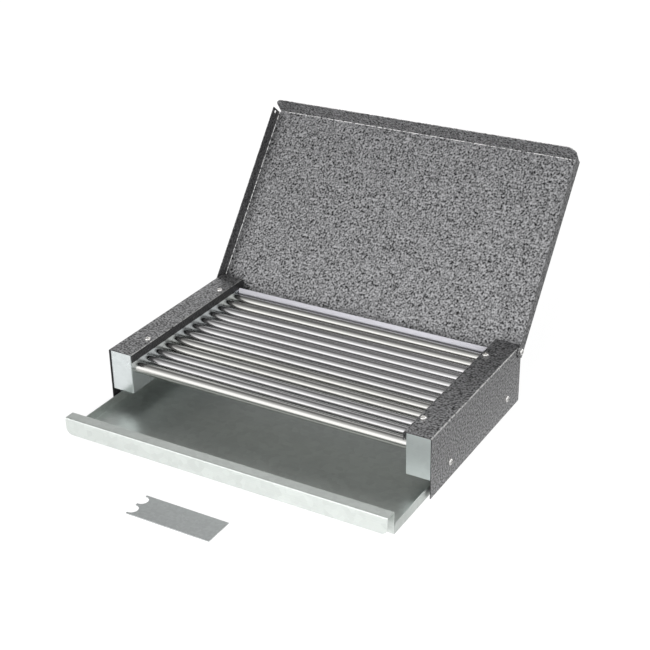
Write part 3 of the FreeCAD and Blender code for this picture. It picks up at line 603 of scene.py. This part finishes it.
def grained(name, colour, roughness, depth, grains=2500.0, detail=2.0):
    """Ceramic, plastic or rubber with so many grains to the metre, of a depth in metres."""
    made, tree, surface = material(name, base_color=colour, roughness=roughness)
    skin = add_node(tree, "ShaderNodeGroup", node_tree=fine_grain)
    skin.inputs["Grains per metre"].default_value = grains
    skin.inputs["Detail"].default_value = detail
    bump(tree, surface, skin.outputs["Height"], depth)
    return made


ceramic = grained("ceramic", ceramic_colour, roughness=0.75, depth=0.00002, grains=1400.0,
                  detail=3.0)
for node in ("ceramic_cores", "right_end_bushes", "left_end_bushes"):
    dress(node, ceramic)


# ---- heating wire ----------------------------------------------------------------------------
# Resistance wire, dark from its first heating. It is wound close along each ceramic core: a thin
# sleeve here, with the turns as its relief.
wire_colour = (0.20, 0.19, 0.18, 1)
wire_turns_scale = 200.0
wire_turn_depth = 0.0003
wire, tree, surface = material("heating wire", base_color=wire_colour, metallic=1.0, roughness=0.5)
place = add_node(tree, "ShaderNodeTexCoord").outputs["Object"]
turns = add_node(tree, "ShaderNodeTexWave", {"Vector": place, "Scale": wire_turns_scale},
                 bands_direction="X")
bump(tree, surface, turns.outputs["Fac"], wire_turn_depth)
dress("heating_coils", wire)


# ---- busbars, terminal sleeves, receptacles and earth ring -----------------------------------
# Brass strip and tube, punched and folded, a little dulled by the air. The busbars sit on the
# terminal pins under their nuts, and the earth ring sits under its own screw.
brass_colour = (0.62, 0.46, 0.18, 1)


def stained_metal(name, colour, spots, detail, roughness, relief):
    """Bare or plated metal, dulled in spots that stand out by a relief in metres."""
    made, tree, surface = material(name, base_color=colour, metallic=1.0)
    skin = stain(tree, surface, spots, detail, roughness)
    bump(tree, surface, skin.outputs["Height"], relief)
    return made


brass = stained_metal("brass", brass_colour, spots=120.0, detail=4.0, roughness=(0.25, 0.5),
                      relief=0.00001)
for node in ("front_busbar", "rear_busbar", "left_busbar", "block_sleeves", "lead_receptacles",
             "earth_ring"):
    dress(node, brass)


# ---- terminal block --------------------------------------------------------------------------
# Moulded cream plastic with three ways, inside the right-hand box. A brass sleeve in each way
# takes a lead under a clamp screw.
block_colour = (0.75, 0.72, 0.64, 1)
dress("terminal_block", grained("block plastic", block_colour, roughness=0.45, depth=0.00001))


# ---- leads -----------------------------------------------------------------------------------
# Silicone-covered wires inside the right-hand box, from the terminal block to the front busbar,
# to the rear busbar and to the earth ring.
brown = (0.09, 0.035, 0.015, 1)
blue = (0.02, 0.06, 0.30, 1)
green = (0.06, 0.24, 0.03, 1)
dress("front_lead", grained("brown lead", brown, roughness=0.5, depth=0.00001))
dress("rear_lead", grained("blue lead", blue, roughness=0.5, depth=0.00001))
dress("earth_lead", grained("green lead", green, roughness=0.5, depth=0.00001))


# ---- cord gland ------------------------------------------------------------------------------
# Black moulded bush at the back of the right-hand box, where a mains cord would come in. A thin
# nut holds it from inside.
gland_colour = (0.018, 0.018, 0.019, 1)
gland_plastic = grained("gland plastic", gland_colour, roughness=0.5, depth=0.00003)
for node in ("cord_gland", "gland_nut"):
    dress(node, gland_plastic)


# ---- screws, nuts, washers and pins ----------------------------------------------------------
# Bright nickel-plated steel: cross-head screws, hexagon nuts, the hinge's washers, and the
# threaded terminal pins that stand out of the tubes' ends.
plate_colour = (0.84, 0.83, 0.81, 1)
plated = stained_metal("nickel plate", plate_colour, spots=500.0, detail=3.0,
                       roughness=(0.12, 0.26), relief=0.00001)
for node in ("cover_screws", "side_screws", "hinge_screws", "back_screws", "earth_screw",
             "clamp_screws", "cover_nuts", "side_nuts", "hinge_nuts", "back_nuts", "earth_nut",
             "hinge_washers", "right_terminal_pins", "left_terminal_pins", "right_pin_nuts",
             "left_pin_nuts"):
    dress(node, plated)


# ---- scraper ---------------------------------------------------------------------------------
# Bare steel sheet, sheared and punched, with two round notches that fit the tubes. It lies loose
# on the table.
scraper_colour = (0.50, 0.52, 0.52, 1)
dress("scraper", sheet_metal("scraper sheet", scraper_colour, roughness=0.42, contrast=0.12,
                             spangles=400.0, relief=0.00001))
